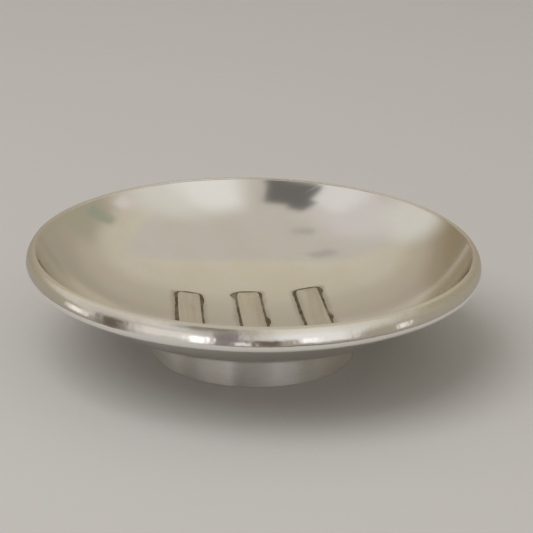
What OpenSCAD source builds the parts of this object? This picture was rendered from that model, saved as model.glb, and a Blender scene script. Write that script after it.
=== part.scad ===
// Shallow footed bowl for a cake of shaving soap, in silver plate.
// A spun dish with an applied rounded rim stands on a short ring foot. Its floor is
// gently hollowed, and three low bars, bent to lie on it and soldered down, hold the
// soap clear of the water.
//
// Millimetres, +Z up. The origin is on the bowl's axis, in the plane that the foot
// stands on. The rest bars run roughly along Y, and "left" is the bar towards -X.

/* [Bowl] */
// Widest diameter, over the rim
bowl_d = 140; // [134:1:146]
// Height from the standing surface to the top of the rim
bowl_h = 34.4; // [32:0.2:40]
// Thickness of the spun sheet
sheet_t = 1.2; // [0.8:0.1:1.6]
// Depth of the dish, from the top of the rim down to the middle of the floor
dish_depth = 27.05; // [26.45:0.05:27.65]

/* [Rim] */
// How far the top of the rim lies inside its widest line
rim_crest_in = 3; // [2.6:0.1:3.4]
// Depth from the top of the rim down to its widest line
rim_drop = 5; // [4.6:0.1:5.6]
// Radius of the rounded top edge
rim_top_r = 2; // [1.8:0.1:2.2]
// Radius of the rim's turned-under lower side
rim_under_r = 2.5; // [2.3:0.1:2.8]

/* [Foot] */
// Outer diameter of the foot ring
foot_d = 63.5; // [56:0.5:66]
// Wall thickness of the foot ring
foot_t = 1.5; // [1:0.1:3]

/* [Rest bars] */
// Distance between neighbouring bars, centre to centre
bar_pitch = 20; // [14:0.5:21]
// Width of a bar
bar_w = 7.8; // [6:0.2:9]
// Height of a bar's rounded top over its flat underside
bar_h = 1.3; // [0.9:0.1:2.2]
// Length of a bar
bar_l = 46; // [36:1:48]

/* [Solder] */
// Thickness of the solder under each bar
solder_t = 0.3; // [0.2:0.1:0.5]
// Width of the solder showing around each bar
solder_edge = 0.9; // [0.4:0.1:1.1]
// Width of the fillet inside the top of the foot ring
foot_fillet = 1; // [0.6:0.1:1.5]
// Width of the fillet under the rim
rim_fillet = 1.3; // [1:0.1:1.5]

/* [Hidden] */
$fn = 256;

bowl_r = bowl_d / 2;
foot_r = foot_d / 2;
floor_z = bowl_h - dish_depth;

// The inside of the dish is a chain of three arcs, each meeting the next in a common
// tangent: the hollowed floor, the curve of the wall, and the wall's upper part, which
// runs up to the top of the rim. Angles are measured from straight down.
floor_r = bowl_d;
wall_r = bowl_d * 13 / 35;
upper_r = bowl_d * 2 / 7;
wall_from = asin(7 / 25);
upper_from = asin(3 / 5);
floor_c = [0, floor_z + floor_r];
wall_c = floor_c + (floor_r - wall_r) * [sin(wall_from), -cos(wall_from)];
upper_c = wall_c + (wall_r - upper_r) * [sin(upper_from), -cos(upper_from)];
upper_out_r = upper_r + sheet_t;

// The rim's section: a broad bulge that meets the rounded top edge in a common tangent,
// and a small round below the widest line.
top_c = [bowl_r - rim_crest_in, bowl_h - rim_top_r];
bulge_rise = rim_drop - rim_top_r;
bulge_r = (rim_crest_in ^ 2 + bulge_rise ^ 2 - rim_top_r ^ 2) / (2 * (rim_crest_in - rim_top_r));
bulge_c = [bowl_r - bulge_r, bowl_h - rim_drop];
under_c = [bowl_r - rim_under_r, bowl_h - rim_drop];
rim_turn = atan2(top_c.x - bulge_c.x, bulge_c.y - top_c.y);

// Each bar is laid by hand, so each lies a little off the others:
// [shift along X, shift along Y, turn about Z]
BAR_LAY = [[0.4, -3.5, -0.3], [0.5, -1.4, 0.9], [0.4, -2.1, 2.2]];
LEFT = 0;
MIDDLE = 1;
RIGHT = 2;

// A bar is a slice off a round rod, bent along its length to the curve of the floor.
// Its ends are cut to a shallow curve, and filed down on top to a thin nose. The radii
// named bar_under_r and bar_top_r are taken from the centre of the floor's curve.
rod_r = ((bar_w / 2) ^ 2 + bar_h ^ 2) / (2 * bar_h);
bar_end_r = 9;
nose_r = 8;
nose_tip = 0.3;
nose_run = sqrt(nose_r ^ 2 - (nose_r - bar_h + nose_tip) ^ 2);
bar_under_r = floor_r - solder_t;
bar_top_r = bar_under_r - bar_h;

// ---- sections, drawn with X as the distance from the axis and Y as the height ----

// The pie slice of a disc of radius r about c between two directions, measured in
// degrees from straight down towards the outside. from and to are at most 180 apart.
module pie(c, r, from, to) {
    reach = 2 * r;
    middle = (from + to) / 2;
    intersection() {
        translate(c) circle(r);
        polygon([
            c,
            c + reach * [sin(from), -cos(from)],
            c + reach * [sin(middle), -cos(middle)],
            c + reach * [sin(to), -cos(to)]
        ]);
    }
}

// All that lies inside the dish's inner face, or inside the face that is further out
module dish_section(further) {
    pie(floor_c, floor_r + further, 0, wall_from);
    pie(wall_c, wall_r + further, wall_from, upper_from);
    pie(upper_c, upper_r + further, upper_from, 90);
}

// The rounded outline of the whole rim, both the moulding and the sheet's edge in it
module rim_section() {
    pie(under_c, rim_under_r, -90, 90);
    pie(bulge_c, bulge_r, 90, rim_turn);
    pie(top_c, rim_top_r, rim_turn, 270);
}

// All that lies below the rim's top edge
module below_rim_top() {
    square([bowl_r, top_c.y]);
    rim_section();
}

// The direction at an angle from +X, and the one square to it
function radial(angle) = [cos(angle), sin(angle)];
function across_radial(way) = [-way.y, way.x];

// Where the line through p along u crosses the line through q along v
function crossing(p, u, q, v) = p + u * cross(q - p, v) / cross(u, v);

// The triangle of solder between the underside of the rim and the wall. The two round
// surfaces meet at a point, and the solder runs rim_fillet down each of them. Its sides
// are straight and only graze the round surfaces: one side on the wall, two on the rim.
module rim_solder_section() {
    across = under_c - upper_c;
    gap = norm(across);
    outward = across / gap;
    along = (upper_out_r ^ 2 - rim_under_r ^ 2 + gap ^ 2) / (2 * gap);
    meet = upper_c + along * outward + sqrt(upper_out_r ^ 2 - along ^ 2) * [outward.y, -outward.x];
    wall_at = atan2(meet.y - upper_c.y, meet.x - upper_c.x);
    rim_at = atan2(meet.y - under_c.y, meet.x - under_c.x);
    wall_turn = rim_fillet / upper_out_r * 180 / PI;
    rim_turned = rim_fillet / rim_under_r * 180 / PI;
    wall_side = radial(wall_at - wall_turn / 2);
    rim_side = radial(rim_at + rim_turned / 4);
    polygon([
        crossing(
            upper_c + upper_out_r * wall_side, across_radial(wall_side),
            under_c + rim_under_r * rim_side, across_radial(rim_side)
        ),
        upper_c + upper_out_r / cos(wall_turn / 2) * radial(wall_at - wall_turn),
        under_c + rim_under_r / cos(rim_turned / 4) * radial(rim_at + rim_turned),
        under_c + rim_under_r / cos(rim_turned / 4) * radial(rim_at + rim_turned / 2)
    ]);
}

// ---- the bars' plan and pose ----

// A strip along Y with gently curved ends
module strip_plan(w, l, end_r) {
    intersection() {
        square([w, l], center = true);
        union() {
            for (side = [-1, 1]) translate([0, side * (l / 2 - end_r)]) circle(end_r);
            square([2 * end_r, l - 2 * end_r], center = true);
        }
    }
}

// The angle at the centre of the floor's curve for a run along the floor
function floor_turn(run) = run / floor_r * 180 / PI;

// A bar seen from its side, with X along the bar and Y up, and the origin at the centre
// of the floor's curve. It is cut to the bar's height and length by bar_blank().
module bar_side() {
    nose_turn = floor_turn(bar_l / 2 - nose_run);
    reach = 2 * floor_r;
    for (side = [-1, 1])
        translate((bar_top_r + nose_r) * [side * sin(nose_turn), -cos(nose_turn)])
            circle(nose_r);
    polygon([
        [0, 0],
        reach * [-sin(nose_turn), -cos(nose_turn)],
        reach * [sin(nose_turn), -cos(nose_turn)]
    ]);
}

// Puts its children where a bar lies. They are drawn about the centre of the floor's
// curve, with the middle of the bar straight below.
module at_bar(which) {
    lay = BAR_LAY[which];
    translate([0, 0, floor_c.y])
        rotate([0, -floor_turn((which - MIDDLE) * bar_pitch + lay.x), 0])
            rotate([floor_turn(lay.y), 0, 0]) rotate(lay.z) children();
}

// A ball about the centre of the floor's curve, its poles well away from the bars
module floor_ball(r) {
    rotate([90, 0, 0]) sphere(r);
}

// All that lies above the strip by which a bar, or its solder, covers the floor
module over_strip(edge) {
    translate([0, 0, -floor_r - sheet_t]) linear_extrude(bar_l)
        strip_plan(bar_w + 2 * edge, bar_l + 2 * edge, bar_end_r + edge);
}

// The bent length of round rod that a bar is cut from, a whole ring of it
module bar_blank() {
    rotate([0, 90, 0]) rotate_extrude() translate([bar_top_r + rod_r, 0]) circle(rod_r);
}

module rest_bar(which) {
    color("gainsboro") at_bar(which) intersection() {
        bar_blank();
        floor_ball(bar_under_r);
        over_strip(0);
        rotate([90, 0, 90]) linear_extrude(bar_w, center = true) bar_side();
    }
}

module bar_solder(which) {
    color("dimgray") at_bar(which) intersection() {
        over_strip(solder_edge);
        difference() {
            floor_ball(floor_r);
            floor_ball(bar_under_r);
        }
    }
}

// ---- the pieces ----

module bowl_shell() {
    color("silver") rotate_extrude() intersection() {
        difference() {
            dish_section(sheet_t);
            dish_section(0);
        }
        below_rim_top();
    }
}

module rim_moulding() {
    color("gainsboro") rotate_extrude() difference() {
        rim_section();
        dish_section(sheet_t);
    }
}

module rim_solder() {
    color("gray") rotate_extrude() rim_solder_section();
}

// The foot reaches up to the dish's outer face
module foot_ring() {
    color("silver") rotate_extrude() difference() {
        translate([foot_r - foot_t, 0]) square([foot_t, bowl_h]);
        dish_section(sheet_t);
    }
}

// A straight fillet between the foot's inner wall and the dish's outer face. Its side
// against the dish is a straight line that grazes the face halfway along.
module foot_solder() {
    half = foot_fillet / 2;
    across = foot_r - foot_t - half;
    up = sqrt((floor_r + sheet_t) ^ 2 - across ^ 2);
    graze = [across, floor_c.y - up];
    along = half * [1, across / up];
    color("gray") rotate_extrude() polygon([
        graze + along,
        graze - along,
        graze + along - [0, foot_fillet]
    ]);
}

module rest_bar_left() { rest_bar(LEFT); }
module rest_bar_middle() { rest_bar(MIDDLE); }
module rest_bar_right() { rest_bar(RIGHT); }
module bar_solder_left() { bar_solder(LEFT); }
module bar_solder_middle() { bar_solder(MIDDLE); }
module bar_solder_right() { bar_solder(RIGHT); }

bowl_shell();
rim_moulding();
rim_solder();
foot_ring();
foot_solder();
rest_bar_left();
rest_bar_middle();
rest_bar_right();
bar_solder_left();
bar_solder_middle();
bar_solder_right();
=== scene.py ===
"""A shallow footed bowl for shaving soap, in silver plate, on a pale floor in soft light.

Units are metres. The frame's origin is on the bowl's axis at table height, +Z is up, and
the three rest bars on the bowl's floor run roughly along Y.
"""

import math

import bmesh
import bpy
from mathutils import Matrix, Vector, noise


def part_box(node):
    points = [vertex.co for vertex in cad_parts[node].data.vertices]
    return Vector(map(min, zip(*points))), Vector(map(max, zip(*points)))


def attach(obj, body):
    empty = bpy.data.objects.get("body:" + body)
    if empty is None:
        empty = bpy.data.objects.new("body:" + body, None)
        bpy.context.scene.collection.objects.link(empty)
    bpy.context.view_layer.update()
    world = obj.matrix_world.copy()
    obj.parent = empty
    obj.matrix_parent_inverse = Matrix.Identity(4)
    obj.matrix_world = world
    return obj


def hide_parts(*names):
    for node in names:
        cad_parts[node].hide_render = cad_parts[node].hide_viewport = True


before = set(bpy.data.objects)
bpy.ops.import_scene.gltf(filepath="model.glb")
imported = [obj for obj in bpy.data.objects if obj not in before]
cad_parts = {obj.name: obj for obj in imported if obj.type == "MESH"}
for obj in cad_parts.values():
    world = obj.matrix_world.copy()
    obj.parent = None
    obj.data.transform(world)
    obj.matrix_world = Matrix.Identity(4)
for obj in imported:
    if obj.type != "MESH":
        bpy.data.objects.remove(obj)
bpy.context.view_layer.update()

MM = 0.001
BODY = "root"

# ---- sizes, from the frame and the sheet's own numbers ----------------------------------

RIM_LOW, RIM_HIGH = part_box("rim_moulding")
SHELL_LOW, SHELL_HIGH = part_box("bowl_shell")
_, FOOT_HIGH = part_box("foot_ring")

BOWL_R = min(RIM_HIGH.x, -RIM_LOW.x)
BOWL_H = SHELL_HIGH.z
FOOT_R = FOOT_HIGH.x
FOOT_H = FOOT_HIGH.z
FOOT_T = 1.5 * MM
SHEET_T = 1.2 * MM
FLOOR_Z = SHELL_LOW.z + SHEET_T

# The inside of the dish: three arcs, each meeting the next in a common tangent
FLOOR_R = 140 * MM
WALL_R = 52 * MM
UPPER_R = 40 * MM
WALL_FROM = math.asin(7 / 25)
UPPER_FROM = math.asin(3 / 5)
FLOOR_C = Vector((0, FLOOR_Z + FLOOR_R))
WALL_C = FLOOR_C + (FLOOR_R - WALL_R) * Vector((math.sin(WALL_FROM), -math.cos(WALL_FROM)))
UPPER_C = WALL_C + (WALL_R - UPPER_R) * Vector((math.sin(UPPER_FROM), -math.cos(UPPER_FROM)))
UPPER_OUT_R = UPPER_R + SHEET_T

RIM_DROP = 5 * MM
RIM_CREST_IN = 3 * MM
RIM_TOP_R = 2 * MM
RIM_UNDER_R = 2.5 * MM
BULGE_R = 7 * MM
TOP_C = Vector((BOWL_R - RIM_CREST_IN, BOWL_H - RIM_TOP_R))
BULGE_C = Vector((BOWL_R - BULGE_R, BOWL_H - RIM_DROP))
UNDER_C = Vector((BOWL_R - RIM_UNDER_R, BOWL_H - RIM_DROP))
RIM_TURN = math.atan2(TOP_C.x - BULGE_C.x, BULGE_C.y - TOP_C.y)


def meeting(one, one_r, two, two_r):
    """The point on the left of the way from one centre to the other, at these distances from them."""
    way = two - one
    gap = way.length
    along = (one_r ** 2 - two_r ** 2 + gap ** 2) / (2 * gap)
    across = math.sqrt(one_r ** 2 - along ** 2)
    unit = way / gap
    return one + along * unit + across * Vector((-unit.y, unit.x))


# The soft edge between the inside and the rounded top: its circle touches both
EDGE_R = 0.5 * MM
EDGE_C = meeting(UPPER_C, UPPER_R + EDGE_R, TOP_C, RIM_TOP_R - EDGE_R)
EDGE_TURN = math.pi + math.atan2(EDGE_C.x - UPPER_C.x, UPPER_C.y - EDGE_C.y)

BAR_W = 7.8 * MM
BAR_L = 46 * MM
BAR_H = 1.3 * MM
BAR_LIFT = 0.3 * MM
BAR_CROWN = 0.8 * MM
BAR_CORNER = 1.6 * MM
BAR_R = FLOOR_R - BAR_LIFT

# Where each bar lies: along X, along Y, and its turn about Z in degrees
BAR_LAY = {
    "left": (-19.6 * MM, -3.5 * MM, -0.3),
    "middle": (0.5 * MM, -1.4 * MM, 0.9),
    "right": (20.4 * MM, -2.1 * MM, 2.2),
}

# How far a surface runs on inside the one that it touches, so that no gap shows
SUNK = 0.05 * MM

# Steps round a turned piece
AROUND = 320

# Where the camera's side of the bowl is, in degrees about Z from -Y
CAMERA_TURN = -5.4


# ---- mesh helpers -----------------------------------------------------------------------

def arc(centre, radius, start, end, steps):
    """Points of a section along an arc. Angles are in radians from straight down, outwards."""
    turn = (end - start) / steps
    return [
        centre + radius * Vector((math.sin(start + i * turn), -math.cos(start + i * turn)))
        for i in range(steps + 1)
    ]


def line(a, b, steps):
    """Points from a to b, without b."""
    return [a.lerp(b, i / steps) for i in range(steps)]


def new_object(name, bm, material):
    """Makes an object of a finished bmesh, smooth shaded."""
    bmesh.ops.recalc_face_normals(bm, faces=bm.faces)
    for face in bm.faces:
        face.smooth = True
    mesh = bpy.data.meshes.new(name)
    bm.to_mesh(mesh)
    bm.free()
    mesh.materials.append(material)
    obj = bpy.data.objects.new(name, mesh)
    bpy.context.scene.collection.objects.link(obj)
    return obj


def bridge(bm, one, two):
    """Faces between two closed rings of as many points."""
    count = len(one)
    for i in range(count):
        j = (i + 1) % count
        bm.faces.new((one[i], two[i], two[j], one[j]))


def lathe(name, section, material, dent=None):
    """Turns a closed section, a list of (radius, height), about the Z axis.

    dent(angle, place along the section) gives how far the surface lies in from the true round.
    """
    bm = bmesh.new()
    rings = []
    for step, (radius, height) in enumerate(section):
        if radius < 1e-7:
            rings.append([bm.verts.new((0, 0, height))])
            continue
        ring = []
        for i in range(AROUND):
            a = 2 * math.pi * i / AROUND
            r = radius - (dent(a, step / len(section)) if dent else 0)
            ring.append(bm.verts.new((r * math.cos(a), r * math.sin(a), height)))
        rings.append(ring)
    closed = len(rings[0]) > 1
    pairs = zip(rings, rings[1:] + rings[:1]) if closed else zip(rings, rings[1:])
    for one, two in pairs:
        if len(one) > 1 and len(two) > 1:
            bridge(bm, one, two)
            continue
        for i in range(AROUND):
            j = (i + 1) % AROUND
            if len(one) == 1:
                bm.faces.new((one[0], two[i], two[j]))
            else:
                bm.faces.new((one[i], two[0], one[j]))
    return new_object(name, bm, material)


# ---- material helpers -------------------------------------------------------------------

class Graph:
    """A short way to write the nodes of a material or of the world."""

    def __init__(self, tree):
        self.tree = tree

    def node(self, kind, inputs=None, **settings):
        made = self.tree.nodes.new(kind)
        for key, value in settings.items():
            setattr(made, key, value)
        for key, value in (inputs or {}).items():
            self.feed(made.inputs[key], value)
        return made

    def feed(self, socket, value):
        if isinstance(value, bpy.types.NodeSocket):
            self.tree.links.new(value, socket)
        else:
            socket.default_value = value

    def math(self, operation, a, b=0.0, c=0.0):
        return self.node("ShaderNodeMath", {0: a, 1: b, 2: c}, operation=operation).outputs[0]

    def vector(self, operation, a, b=(0, 0, 0)):
        made = self.node("ShaderNodeVectorMath", {0: a, 1: b}, operation=operation)
        return made.outputs["Value"] if operation in ("LENGTH", "DISTANCE") else made.outputs["Vector"]

    def split(self, vector):
        return self.node("ShaderNodeSeparateXYZ", {0: vector}).outputs

    def join(self, x=0.0, y=0.0, z=0.0):
        return self.node("ShaderNodeCombineXYZ", {0: x, 1: y, 2: z}).outputs[0]

    def remap(self, value, low, high, to_low=0.0, to_high=1.0):
        made = self.node(
            "ShaderNodeMapRange",
            {"Value": value, "From Min": low, "From Max": high, "To Min": to_low, "To Max": to_high},
            interpolation_type="SMOOTHSTEP",
        )
        return made.outputs["Result"]

    def noise(self, vector, scale, detail=2.0, roughness=0.5, distortion=0.0):
        made = self.node(
            "ShaderNodeTexNoise",
            {
                "Vector": vector, "Scale": scale, "Detail": detail,
                "Roughness": roughness, "Distortion": distortion,
            },
        )
        return made.outputs["Fac"]

    def mix(self, factor, one, two):
        made = self.node("ShaderNodeMix", data_type="RGBA")
        for socket, value in ((made.inputs[0], factor), (made.inputs[6], one), (made.inputs[7], two)):
            self.feed(socket, value)
        return made.outputs[2]


class Metal(Graph):
    """A material's nodes, with what the bowl's metals share."""

    def __init__(self, name):
        self.material = bpy.data.materials.new(name)
        self.material.use_nodes = True
        super().__init__(self.material.node_tree)
        self.shader = self.tree.nodes["Principled BSDF"]
        self.place = self.node("ShaderNodeTexCoord").outputs["Object"]

    def bump(self, height, strength, distance, normal=None):
        inputs = {"Height": height, "Strength": strength, "Distance": distance}
        if normal is not None:
            inputs["Normal"] = normal
        return self.node("ShaderNodeBump", inputs).outputs["Normal"]

    def turned(self, along, across):
        """Coordinates that follow the lathe: fine across the turning lines, slow along them."""
        x, y, z = self.split(self.place)
        flat = self.join(x, y)
        path = self.math("MULTIPLY", self.math("ADD", self.vector("LENGTH", flat), z), across)
        around = self.split(self.vector("NORMALIZE", flat))
        return self.join(
            path,
            self.math("MULTIPLY", around[0], along),
            self.math("MULTIPLY", around[1], along),
        )

    def hairlines(self, turn, length_scale, width_scale, keep):
        """Fine straight scratches in one direction, as a mask."""
        mapped = self.node(
            "ShaderNodeMapping",
            {
                "Vector": self.place, "Rotation": (0.0, 0.0, turn),
                "Scale": (length_scale, width_scale, length_scale),
            },
        ).outputs[0]
        return self.remap(self.noise(mapped, 1.0, 2.0, 0.6), keep, keep + 0.06)

    def specks(self, scale, size):
        """A few small round spots, as a mask."""
        cells = self.node(
            "ShaderNodeTexVoronoi", {"Vector": self.place, "Scale": scale, "Randomness": 1.0}
        )
        few = self.remap(self.split(cells.outputs["Color"])[0], 0.8, 0.82)
        near = self.remap(cells.outputs["Distance"], size * 0.4, size, 1.0, 0.0)
        return self.math("MULTIPLY", few, near)

    def round_brushing(self, amount):
        """Stretches reflections across the lathe's turning lines."""
        self.shader.inputs["Anisotropic"].default_value = amount
        self.shader.inputs["Anisotropic Rotation"].default_value = 0.25
        radial = self.node("ShaderNodeTangent", direction_type="RADIAL", axis="Z")
        self.feed(self.shader.inputs["Tangent"], radial.outputs[0])

    def finish(self, color, rough, normal=None, metallic=1.0):
        self.feed(self.shader.inputs["Base Color"], color)
        self.feed(self.shader.inputs["Roughness"], rough)
        self.feed(self.shader.inputs["Metallic"], metallic)
        if normal is not None:
            self.feed(self.shader.inputs["Normal"], normal)
        return self.material


# ---- materials --------------------------------------------------------------------------

# Linear colours
SILVER = (0.86, 0.835, 0.785, 1)
SILVER_BRIGHT = (0.90, 0.885, 0.86, 1)
YELLOWED = (0.78, 0.72, 0.58, 1)
TARNISH = (0.40, 0.35, 0.26, 1)
# Painted dark reflection, laid up the right inside wall of the bowl
PAINTED_REFLECTION_BROWN = (0.60, 0.53, 0.41, 1)
SPECK = (0.16, 0.14, 0.11, 1)
SOLDER_DARK = (0.13, 0.11, 0.07, 1)
SOLDER_BROWN = (0.25, 0.215, 0.14, 1)
SOLDER_RUBBED = (0.52, 0.47, 0.37, 1)
BOARD_GREY = (0.52, 0.51, 0.495, 1)
BOARD_PALE = (0.55, 0.54, 0.525, 1)


def bar_distance(g, which):
    """How far a point of the floor lies outside one bar's outline, in metres."""
    along_x, along_y, turn = BAR_LAY[which]
    local = g.node(
        "ShaderNodeMapping",
        {"Vector": g.place, "Location": (along_x, along_y, 0), "Rotation": (0, 0, math.radians(turn))},
        vector_type="TEXTURE",
    ).outputs[0]
    x, y, _ = g.split(g.vector("ABSOLUTE", local))
    out_x = g.math("MAXIMUM", g.math("SUBTRACT", x, BAR_W / 2), 0.0)
    out_y = g.math("MAXIMUM", g.math("SUBTRACT", y, BAR_L / 2), 0.0)
    return g.vector("LENGTH", g.join(out_x, out_y))


def satin_silver():
    """The bowl's sheet: spun, worn to a satin, tarnished at the bars, with a painted dark reflection up one
    side.
    """
    g = Metal("satin_silver")
    lines = g.noise(g.turned(2.0, 2600.0), 1.0, 3.0, 0.65)
    cloud = g.noise(g.place, 34.0, 4.0, 0.6, 0.4)
    smudge = g.noise(g.place, 120.0, 3.0, 0.6)
    hair = g.math(
        "MAXIMUM",
        g.hairlines(0.5, 60.0, 2400.0, 0.68),
        g.hairlines(-0.9, 50.0, 2100.0, 0.69),
    )
    near = None
    for which in BAR_LAY:
        gap = bar_distance(g, which)
        near = gap if near is None else g.math("MINIMUM", near, gap)
    ragged = g.math("ADD", near, g.math("MULTIPLY", g.math("SUBTRACT", smudge, 0.5), 2.4 * MM))
    halo = g.remap(ragged, 0.4 * MM, 2.6 * MM, 0.55, 0.0)
    from_centre = g.vector("DISTANCE", g.place, (0, 0, FLOOR_C.y))
    in_bowl = g.math("LESS_THAN", from_centre, FLOOR_R + 0.5 * MM)
    halo = g.math("MULTIPLY", halo, in_bowl)
    color = g.mix(g.remap(cloud, 0.4, 0.8, 0.0, 0.30), SILVER, YELLOWED)
    color = g.mix(g.remap(smudge, 0.55, 0.85, 0.0, 0.10), color, SILVER_BRIGHT)
    color = g.mix(halo, color, TARNISH)
    x, y, z = g.split(g.place)
    # Painted dark reflection and shade on the inside wall: the right side, a little towards the front
    to_side = g.math("SUBTRACT", x, g.math("MULTIPLY", y, 0.35))
    painted_reflection = g.math("MULTIPLY", g.remap(to_side, 48 * MM, 61 * MM), g.remap(z, 15 * MM, 22 * MM))
    painted_reflection = g.math("MULTIPLY", painted_reflection, g.remap(cloud, 0.3, 0.7, 0.7, 0.95))
    color = g.mix(painted_reflection, color, PAINTED_REFLECTION_BROWN)
    color = g.mix(g.math("MULTIPLY", g.specks(75.0, 0.022), 0.8), color, SPECK)
    rough = g.remap(cloud, 0.3, 0.75, 0.09, 0.13)
    rough = g.math("ADD", rough, g.math("MULTIPLY", lines, 0.04))
    rough = g.math("ADD", rough, g.math("MULTIPLY", hair, 0.06))
    rough = g.math("ADD", rough, g.math("MULTIPLY", halo, 0.3))
    normal = g.bump(lines, 0.22, 0.00001)
    normal = g.bump(hair, 0.3, 0.00001, normal)
    normal = g.bump(g.noise(g.place, 45.0, 2.0, 0.5), 0.1, 0.0005, normal)
    g.round_brushing(0.3)
    return g.finish(color, rough, normal)


def polished_silver():
    """The rim: bright, with fine lines round it and small knocks."""
    g = Metal("polished_silver")
    lines = g.noise(g.turned(4.0, 2200.0), 1.0, 3.0, 0.6)
    cloud = g.noise(g.place, 60.0, 3.0, 0.6)
    hair = g.hairlines(0.8, 80.0, 2600.0, 0.67)
    color = g.mix(g.remap(cloud, 0.5, 0.8, 0.0, 0.35), SILVER_BRIGHT, SILVER)
    height = g.split(g.place)[2]
    ragged = g.math("ADD", height, g.math("MULTIPLY", g.math("SUBTRACT", cloud, 0.5), 1.2 * MM))
    crest = g.remap(ragged, BOWL_H - 2.6 * MM, BOWL_H - 0.9 * MM)
    color = g.mix(g.math("MULTIPLY", crest, 0.62), color, YELLOWED)
    rough = g.math("ADD", g.math("MULTIPLY", crest, 0.12), g.math("MULTIPLY", cloud, 0.02))
    rough = g.math("ADD", rough, 0.1)
    rough = g.math("ADD", rough, g.math("MULTIPLY", lines, 0.05))
    rough = g.math("ADD", rough, g.math("MULTIPLY", hair, 0.08))
    rough = g.math("ADD", rough, g.remap(cloud, 0.5, 0.75, 0.0, 0.05))
    normal = g.bump(lines, 0.12, 0.00001)
    normal = g.bump(g.noise(g.place, 110.0, 3.0, 0.55), 0.4, 0.0005, normal)
    return g.finish(color, rough, normal)


def brushed_silver():
    """The foot: turned brush lines all round it."""
    g = Metal("brushed_silver")
    lines = g.noise(g.turned(5.0, 4200.0), 1.0, 4.0, 0.7)
    cloud = g.noise(g.place, 70.0, 3.0, 0.6)
    color = g.mix(g.remap(cloud, 0.45, 0.8, 0.0, 0.4), SILVER_BRIGHT, SILVER)
    color = g.mix(g.remap(lines, 0.3, 0.7, 0.16, 0.0), color, TARNISH)
    rough = g.math("ADD", 0.3, g.math("MULTIPLY", lines, 0.1))
    normal = g.bump(lines, 0.15, 0.00001)
    g.round_brushing(0.9)
    return g.finish(color, rough, normal)


def bar_silver():
    """The rest bars: drawn strip, brushed along its length and yellowed."""
    g = Metal("bar_silver")
    stretched = g.node("ShaderNodeMapping", {"Vector": g.place, "Scale": (1.0, 0.03, 1.0)}).outputs[0]
    lines = g.noise(stretched, 2600.0, 3.0, 0.65)
    cloud = g.noise(g.place, 160.0, 3.0, 0.6)
    streak = g.noise(stretched, 300.0, 2.0, 0.5)
    color = g.mix(g.remap(cloud, 0.35, 0.75, 0.45, 0.8), SILVER, YELLOWED)
    color = g.mix(g.remap(streak, 0.38, 0.66, 0.0, 0.28), color, TARNISH)
    color = g.mix(g.math("MULTIPLY", g.specks(160.0, 0.03), 0.7), color, SPECK)
    rough = g.math("ADD", 0.24, g.math("MULTIPLY", lines, 0.1))
    return g.finish(color, rough, g.bump(lines, 0.15, 0.00001))


def tarnished_solder():
    """Solder gone dark, rubbed back to grey here and there."""
    g = Metal("tarnished_solder")
    grain = g.noise(g.place, 900.0, 4.0, 0.65)
    cloud = g.noise(g.place, 260.0, 2.0, 0.5)
    rubbed = g.noise(g.place, 95.0, 3.0, 0.6)
    color = g.mix(g.remap(cloud, 0.35, 0.65), SOLDER_DARK, SOLDER_BROWN)
    color = g.mix(g.remap(rubbed, 0.5, 0.72, 0.0, 0.6), color, SOLDER_RUBBED)
    rough = g.remap(grain, 0.3, 0.7, 0.38, 0.58)
    return g.finish(color, rough, g.bump(grain, 0.5, 0.00008), metallic=0.9)


def pale_floor():
    """Matt pale board with a faint tooth."""
    g = Metal("pale_floor")
    cloud = g.noise(g.place, 2.5, 3.0, 0.5)
    tooth = g.noise(g.place, 900.0, 3.0, 0.6)
    color = g.mix(cloud, BOARD_GREY, BOARD_PALE)
    return g.finish(color, 0.75, g.bump(tooth, 0.15, 0.0001), metallic=0.0)


# ---- pieces -----------------------------------------------------------------------------

def finish_piece(piece, node):
    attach(piece, BODY)
    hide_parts(node)
    return piece


def hand_dents(seed, depth, grain):
    """Slow, shallow unevenness round the bowl, as handwork leaves it; 0 to 2 * depth inwards."""
    def dent(angle, along):
        at = Vector((math.cos(angle) * grain, math.sin(angle) * grain, seed + along * 2))
        return depth * (1 + max(-1, min(1, 1.6 * noise.noise(at))))
    return dent


def bowl_shell(material):
    """The sheet. Its outer face ends a little below the rim's top, inside the moulding."""
    covered = 1.2 * MM
    first_ring = 0.6 * MM / FLOOR_R
    top_in = EDGE_TURN - math.pi
    top_out = math.acos((UPPER_C.y - (BOWL_H - covered)) / UPPER_OUT_R)
    section = [Vector((0, FLOOR_Z))]
    section += arc(FLOOR_C, FLOOR_R, first_ring, WALL_FROM, 44)[:-1]
    section += arc(WALL_C, WALL_R, WALL_FROM, UPPER_FROM, 34)[:-1]
    section += arc(UPPER_C, UPPER_R, UPPER_FROM, top_in, 34)
    section += arc(UPPER_C, UPPER_OUT_R - SUNK, top_out, UPPER_FROM, 24)[:-1]
    section += arc(WALL_C, WALL_R + SHEET_T, UPPER_FROM, WALL_FROM, 30)[:-1]
    section += arc(FLOOR_C, FLOOR_R + SHEET_T, WALL_FROM, first_ring, 40)
    section += [Vector((0, FLOOR_Z - SHEET_T))]
    return lathe("bowl_shell_spun", section, material)


def rim_moulding(material):
    """The whole rounded rim, over the sheet's edge. Its hidden side runs down inside the sheet."""
    behind = 0.12 * MM
    hidden_from = EDGE_TURN - math.pi - 0.01
    hidden_to = UPPER_FROM + 0.3
    edge_from = math.atan2(EDGE_C.x - TOP_C.x, TOP_C.y - EDGE_C.y)
    section = arc(UNDER_C, RIM_UNDER_R, -1.4, math.pi / 2, 20)[:-1]
    section += arc(BULGE_C, BULGE_R, math.pi / 2, RIM_TURN, 22)[:-1]
    section += arc(TOP_C, RIM_TOP_R, RIM_TURN, edge_from, 12)[:-1]
    section += arc(EDGE_C, EDGE_R, edge_from, EDGE_TURN, 8)
    section += arc(UPPER_C, UPPER_R + behind, hidden_from, hidden_to, 6)
    return lathe("rim_moulding_polished", section, material, hand_dents(3, 0.035 * MM, 9))


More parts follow.
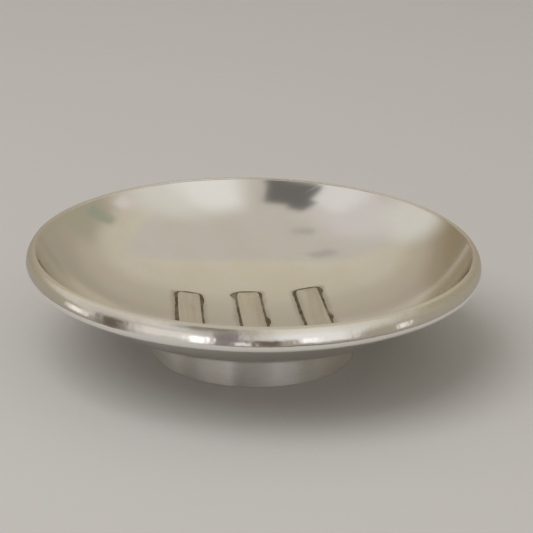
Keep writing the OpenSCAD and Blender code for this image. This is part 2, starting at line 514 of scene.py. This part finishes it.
def rim_solder(material):
    """A hollow fillet of solder where the rim meets the wall, seen only from below."""
    meet = meeting(UNDER_C, RIM_UNDER_R, UPPER_C, UPPER_OUT_R)
    wall_at = math.atan2(meet.x - UPPER_C.x, UPPER_C.y - meet.y)
    rim_at = math.atan2(meet.x - UNDER_C.x, UNDER_C.y - meet.y)
    run = 1.2 * MM
    on_wall = arc(UPPER_C, UPPER_OUT_R - SUNK, wall_at, wall_at - run / UPPER_OUT_R, 4)
    on_rim = arc(UNDER_C, RIM_UNDER_R - SUNK, rim_at + run / RIM_UNDER_R, rim_at, 6)
    middle = (on_wall[-1] + on_rim[0]) / 2
    hollow = middle.lerp(meet, 0.35)
    face = [on_wall[-1].lerp(hollow, f).lerp(hollow.lerp(on_rim[0], f), f) for f in (0.2, 0.4, 0.6, 0.8)]
    return lathe("rim_solder_fillet", on_wall + face + on_rim, material)


def foot_ring(material):
    soft = 0.25 * MM
    inside, outside, top = FOOT_R - FOOT_T, FOOT_R, FOOT_H + 0.2 * MM
    section = arc(Vector((outside - soft, soft)), soft, 0, math.pi / 2, 6)
    section += line(Vector((outside, 2 * soft)), Vector((outside, top)), 10)
    section += [Vector((outside, top)), Vector((inside, top))]
    section += line(Vector((inside, top)), Vector((inside, 2 * soft)), 10)[1:]
    section += arc(Vector((inside + soft, soft)), soft, -math.pi / 2, 0, 6)
    return lathe("foot_ring_brushed", section, material, hand_dents(11, 0.01 * MM, 4))


def foot_solder(material):
    """The fillet that holds the foot, in the corner inside the ring."""
    run = 0.9 * MM
    inside = FOOT_R - FOOT_T
    corner = Vector((inside, FLOOR_C.y - math.sqrt((FLOOR_R + SHEET_T) ** 2 - inside ** 2)))
    section = arc(corner - Vector((run, run)), run, math.pi / 2, math.pi, 10)
    section += [corner + Vector((0.0, 2 * SUNK)), corner + Vector((SUNK, -run))]
    return lathe("foot_solder_fillet", section, material)


def strip_outline(half_w, half_l, corner, crown, long_steps=72, end_steps=20, corner_steps=8):
    """A bar's plan, anticlockwise: straight sides, round corners and gently curved ends."""
    flat_l = half_l - crown
    x, y = half_w - corner, flat_l - corner
    points = []
    for sx, sy, start in ((1, 1, 0), (-1, 1, 90), (-1, -1, 180), (1, -1, 270)):
        for i in range(corner_steps):
            a = math.radians(start + 90 * i / corner_steps)
            points.append(Vector((sx * x + corner * math.cos(a), sy * y + corner * math.sin(a))))
        a = math.radians(start + 90)
        last = Vector((sx * x + corner * math.cos(a), sy * y + corner * math.sin(a)))
        over_end = start in (0, 180)
        nxt = Vector((-last.x, last.y)) if over_end else Vector((last.x, -last.y))
        points += line(last, nxt, end_steps if over_end else long_steps)
    return [
        Vector((p.x, p.y + math.copysign(crown * (1 - (p.x / half_w) ** 2), p.y) * smooth_end(p.y, flat_l)))
        for p in points
    ]


def smooth_end(y, flat_l):
    """0 along the bar's middle, rising to 1 at its ends."""
    return min(1.0, abs(y) / flat_l) ** 6


def outward_normals(points):
    count = len(points)
    normals = []
    for i in range(count):
        run = points[(i + 1) % count] - points[i - 1]
        normals.append(Vector((run.y, -run.x)).normalized())
    return normals


def over_floor(which):
    """Gives a function that places a point near a bar: across it, along it, over its underside."""
    along_x, along_y, turn = BAR_LAY[which]
    pose = (
        Matrix.Translation((0, 0, FLOOR_C.y))
        @ Matrix.Rotation(-along_x / FLOOR_R, 4, "Y")
        @ Matrix.Rotation(along_y / FLOOR_R, 4, "X")
        @ Matrix.Rotation(math.radians(turn), 4, "Z")
    )

    def place(x, y, over):
        return pose @ Vector((x, y, -math.sqrt((BAR_R - over) ** 2 - x ** 2 - y ** 2)))
    return place


def bar_height(x, y):
    """The bar's top over its underside: a slice of rod, worn flatter, with its ends filed down."""
    rod_r = ((BAR_W / 2) ** 2 + BAR_H ** 2) / (2 * BAR_H)
    crown = math.sqrt(max(0, rod_r ** 2 - x ** 2)) + BAR_H - rod_r
    nose_r = 8 * MM
    nose_run = 3.9 * MM
    past = max(0, abs(y) - (BAR_L / 2 - nose_run))
    nose = math.sqrt(nose_r ** 2 - past ** 2) - nose_r + BAR_H
    worn = BAR_H - 0.05 * MM
    soft = 0.05 * MM
    lowest = min(crown, nose, worn)
    return lowest - soft * math.log(sum(math.exp((lowest - h) / soft) for h in (crown, nose, worn)))


def rest_bar(which, material, seed):
    """A bar as closed rings that shrink from its outline to its middle line, over its base."""
    outline = strip_outline(BAR_W / 2, BAR_L / 2, BAR_CORNER, BAR_CROWN)
    spine = BAR_L / 2 - BAR_W / 2
    base = -0.15 * MM
    line_w = 0.9 * MM
    line_l = 22 * MM
    hollow_w = 5 * MM
    hollow_l = 6 * MM
    relief = 0.02 * MM
    place = over_floor(which)
    bm = bmesh.new()

    def ring(shrink, height):
        made = []
        for p in outline:
            core = Vector((0, max(-spine, min(spine, p.y))))
            q = core + (p - core) * shrink
            worn = noise.noise(Vector((q.x / line_w, q.y / line_l, seed)))
            worn += 0.5 * noise.noise(Vector((q.x / hollow_w, q.y / hollow_l, seed + 9)))
            z = height if height is not None else bar_height(q.x, q.y) + relief * worn
            made.append(bm.verts.new(place(q.x, q.y, z)))
        return made

    under = ring(0.9, base)
    rings = [under, ring(1.0, base), ring(1.0, None)]
    steps = 22
    rings += [ring(math.cos(0.5 * math.pi * i / steps), None) for i in range(1, steps)]
    rings.append(ring(0.0, None))
    for one, two in zip(rings, rings[1:]):
        bridge(bm, one, two)
    bm.faces.new(under)
    bmesh.ops.remove_doubles(bm, verts=rings[-1], dist=0.5e-6)
    return new_object("rest_bar_" + which + "_drawn", bm, material)


# Where the solder has run out further: part of the way round the bar, how far, how wide a stretch
SPILLS = {
    "left": ((0.29, 0.4, 0.06), (0.99, 0.5, 0.02)),
    "middle": ((0.155, 1.2, 0.010), (0.86, 1.0, 0.022)),
    "right": ((0.005, 0.7, 0.012), (0.85, 0.8, 0.02), (0.25, 0.2, 0.07)),
}


def bar_solder(which, material, seed):
    """The dark run of solder round a bar: hollow like a fillet, ragged at its outer edge."""
    outline = strip_outline(BAR_W / 2, BAR_L / 2, BAR_CORNER, BAR_CROWN)
    normals = outward_normals(outline)
    count = len(outline)
    place = over_floor(which)
    climb = 0.16 * MM
    floor = -BAR_LIFT
    inset = 0.5 * MM
    edge_t = 0.015 * MM
    patch = 2.2 * MM
    slope = (0.0, 0.12, 0.28, 0.48, 0.72, 1.0)
    rings = [[] for _ in range(len(slope) + 3)]
    bm = bmesh.new()
    for i, (p, n) in enumerate(zip(outline, normals)):
        t = i / count
        at = Vector((p.x / patch, p.y / patch, seed))
        width = 0.55 + 0.22 * noise.noise(at) + 0.10 * noise.noise(at * 3.1)
        for where, extra, spread in SPILLS[which]:
            away = min(abs(t - where), 1 - abs(t - where))
            width += extra * math.exp(-((away / spread) ** 2))
        width += 1.3 * smooth_end(p.y, BAR_L / 2 - BAR_CROWN) ** 4
        width = max(0.3, width) * MM
        rise = climb * (1 + 0.5 * noise.noise(at * 1.7)) + climb * smooth_end(p.y, BAR_L / 2)
        spots = [(-inset, floor), (-inset, rise)]
        spots += [(f * width, floor + edge_t + (rise - floor) * (1 - f) ** 2.2) for f in slope]
        spots.append((width, floor))
        for ring, (out, z) in zip(rings, spots):
            q = p + n * out
            ring.append(bm.verts.new(place(q.x, q.y, z)))
    for one, two in zip(rings, rings[1:] + rings[:1]):
        bridge(bm, one, two)
    return new_object("bar_solder_" + which + "_run", bm, material)


# ---- stage ------------------------------------------------------------------------------

def make_camera():
    """Looks at the bowl from a little above its rim, nearly along the bars."""
    turn = math.radians(CAMERA_TURN)
    away = 493.0 * MM
    height = 210.2 * MM
    pitch = math.radians(20.41)
    yaw = math.radians(0.45)
    roll = math.radians(1.29)
    forward = Vector((math.sin(yaw) * math.cos(pitch), math.cos(yaw) * math.cos(pitch), -math.sin(pitch)))
    right = Vector((math.cos(yaw), -math.sin(yaw), 0))
    up = right.cross(forward)
    axes = (
        math.cos(roll) * right + math.sin(roll) * up,
        math.cos(roll) * up - math.sin(roll) * right,
        -forward,
    )
    data = bpy.data.cameras.new("camera")
    data.sensor_width = 36
    data.lens = 114.8
    data.clip_start = 0.01
    camera = bpy.data.objects.new("camera", data)
    bpy.context.scene.collection.objects.link(camera)
    pose = Matrix(axes).transposed().to_4x4()
    pose.translation = (0, -away, height)
    camera.matrix_world = Matrix.Rotation(turn, 4, "Z") @ pose
    bpy.context.scene.camera = camera


def make_floor(material):
    """A round patch under the bowl and the rest of the floor round it.

    The metal mirrors only the patch, so that the studio is seen in it down to the patch's edge.
    """
    patch_r = 130 * MM
    wide_r = 4.0
    around = 96
    patch = bmesh.new()
    rest = bmesh.new()
    bmesh.ops.create_circle(patch, cap_ends=True, radius=patch_r, segments=around)
    inner = bmesh.ops.create_circle(rest, radius=patch_r, segments=around)["verts"]
    outer = bmesh.ops.create_circle(rest, radius=wide_r, segments=around)["verts"]
    bridge(rest, inner, outer)
    new_object("floor", patch, material)
    wide = new_object("floor_wide", rest, material)
    wide.visible_glossy = False


def softbox(name, azimuth, elevation, distance, size, power):
    """An area light that looks at the bowl and lights the floor, but isn't seen in the metal.

    Azimuth 0 is the camera's side, positive to its right.
    """
    data = bpy.data.lights.new(name, "AREA")
    data.shape = "RECTANGLE"
    data.size, data.size_y = size
    data.energy = power
    light = bpy.data.objects.new(name, data)
    bpy.context.scene.collection.objects.link(light)
    aim = Vector((0, 0, 20 * MM))
    a = math.radians(azimuth + CAMERA_TURN)
    e = math.radians(elevation)
    way = Vector((math.sin(a) * math.cos(e), -math.cos(a) * math.cos(e), math.sin(e)))
    light.location = aim + way * distance
    light.rotation_mode = "QUATERNION"
    light.rotation_quaternion = way.to_track_quat("Z", "Y")
    light.visible_glossy = False


# What stands round the bowl in the soft studio, each a card of light or shade at infinity:
# (azimuth, half width, soft edge), (elevation, half height, soft edge), radiance.
# Azimuth 0 is the camera's side, positive to its right, and all angles are in degrees.
CARDS = (
    ((-80, 22, 28), (50, 10, 18), (0.63, 0.595, 0.585)),
    ((-54, 9, 18), (43, 9, 9), (0.73, 0.72, 0.71)),
    ((52, 14, 34), (45, 12, 24), (0.68, 0.67, 0.635)),
    ((31, 10, 22), (38, 20, 20), (0.80, 0.79, 0.775)),
    ((-107, 8, 18), (27, 9, 12), (0.66, 0.65, 0.61)),
    ((158, 12, 16), (8, 6, 12), (0.36, 0.325, 0.26)),
    ((115, 10, 14), (22, 6, 10), (0.37, 0.345, 0.265)),
    ((108, 3, 2.5), (32, 6, 3), (0.31, 0.33, 0.265)),
    ((89, 3, 4), (35, 2, 4), (0.68, 0.62, 0.62)),
    ((-42, 8, 16), (6, 9, 9), (0.72, 0.675, 0.625)),
    ((-70, 3, 11), (-2, 12, 16), (0.12, 0.09, 0.07)),
    ((-92, 2.5, 7), (-4, 4, 7), (0.98, 0.90, 0.85)),
    ((-25, 2, 5), (-3, 7, 12), (1.55, 1.52, 1.49)),
    ((36, 8, 10), (3, 8, 10), (0.80, 0.77, 0.735)),
    ((27, 1, 6), (0, 4, 13), (1.15, 1.12, 1.09)),
    ((-12, 6, 3), (6, 30, 12), (0.22, 0.185, 0.18)),
    ((-4.5, 1.2, 3), (-11, 5, 6), (0.95, 0.93, 0.91)),
    ((6, 6, 4), (-5, 8, 8), (0.13, 0.10, 0.08)),
    ((77, 1.5, 3), (-2, 4, 8), (0.95, 0.915, 0.85)),
    ((-25, 16, 3.5), (51, 10, 4), (0.15, 0.145, 0.14)),
    ((-40, 6, 5), (60, 4, 4), (0.15, 0.145, 0.14)),
    ((-149, 7, 3), (61, 1.6, 1.2), (0.40, 0.38, 0.355)),
    ((-106, 7, 4), (75, 2.7, 1.5), (0.40, 0.38, 0.36)),
)

# The studio's walls, by elevation in degrees
SKY = (
    (-24, (0.11, 0.08, 0.05)),
    (-17, (0.33, 0.30, 0.25)),
    (0, (0.35, 0.31, 0.24)),
    (20, (0.41, 0.36, 0.29)),
    (30, (0.456, 0.41, 0.334)),
    (42, (0.56, 0.515, 0.425)),
    (56, (0.60, 0.555, 0.46)),
)

# Its ceiling, and the two straight edges of it that show in the bowl: each is the plane
# through the bowl and the edge, given by the normal on the ceiling's side of it
CEILING = (0.545, 0.512, 0.468)
CEILING_EDGES = ((0.09, -0.83, 0.55), (-0.78, -0.12, 0.61))


def make_world():
    world = bpy.data.worlds.new("studio")
    bpy.context.scene.world = world
    world.use_nodes = True
    g = Graph(world.node_tree)
    x, y, z = g.split(g.node("ShaderNodeTexCoord").outputs["Generated"])
    east = g.math("DEGREES", g.math("ARCTAN2", x, g.math("MULTIPLY", y, -1.0)))
    azimuth = g.math("SUBTRACT", east, CAMERA_TURN)
    elevation = g.math("DEGREES", g.math("ARCSINE", z))
    color = (*SKY[0][1], 1)
    for (low, _), (high, light) in zip(SKY, SKY[1:]):
        color = g.mix(g.remap(elevation, low, high), color, (*light, 1))
    turned = Matrix.Rotation(math.radians(CAMERA_TURN), 3, "Z")
    soft = 0.008
    over = None
    for edge in CEILING_EDGES:
        made = g.node(
            "ShaderNodeVectorMath", {0: g.join(x, y, z), 1: turned @ Vector(edge)}, operation="DOT_PRODUCT"
        )
        side = g.remap(made.outputs["Value"], -soft, soft)
        over = side if over is None else g.math("MULTIPLY", over, side)
    color = g.mix(over, color, (*CEILING, 1))
    for (az, half_w, soft_w), (el, half_h, soft_h), light in CARDS:
        beside = g.math("ABSOLUTE", g.math("WRAP", g.math("SUBTRACT", azimuth, az), 180.0, -180.0))
        above = g.math("ABSOLUTE", g.math("SUBTRACT", elevation, el))
        inside = g.math(
            "MULTIPLY",
            g.remap(beside, half_w, half_w + soft_w, 1.0, 0.0),
            g.remap(above, half_h, half_h + soft_h, 1.0, 0.0),
        )
        color = g.mix(inside, color, (*light, 1))
    g.feed(world.node_tree.nodes["Background"].inputs["Color"], color)


# ---- build ------------------------------------------------------------------------------

bpy.context.scene.view_settings.view_transform = "Standard"
make_camera()
make_world()
make_floor(pale_floor())
softbox("overhead", -50, 60, 1.5, (1.2, 1.2), 12)

solder = tarnished_solder()
bars = bar_silver()
finish_piece(bowl_shell(satin_silver()), "bowl_shell")
finish_piece(rim_moulding(polished_silver()), "rim_moulding")
finish_piece(rim_solder(solder), "rim_solder")
finish_piece(foot_ring(brushed_silver()), "foot_ring")
finish_piece(foot_solder(solder), "foot_solder")
for number, side in enumerate(BAR_LAY):
    finish_piece(rest_bar(side, bars, 5 * number), "rest_bar_" + side)
    finish_piece(bar_solder(side, solder, 7 * number), "bar_solder_" + side)
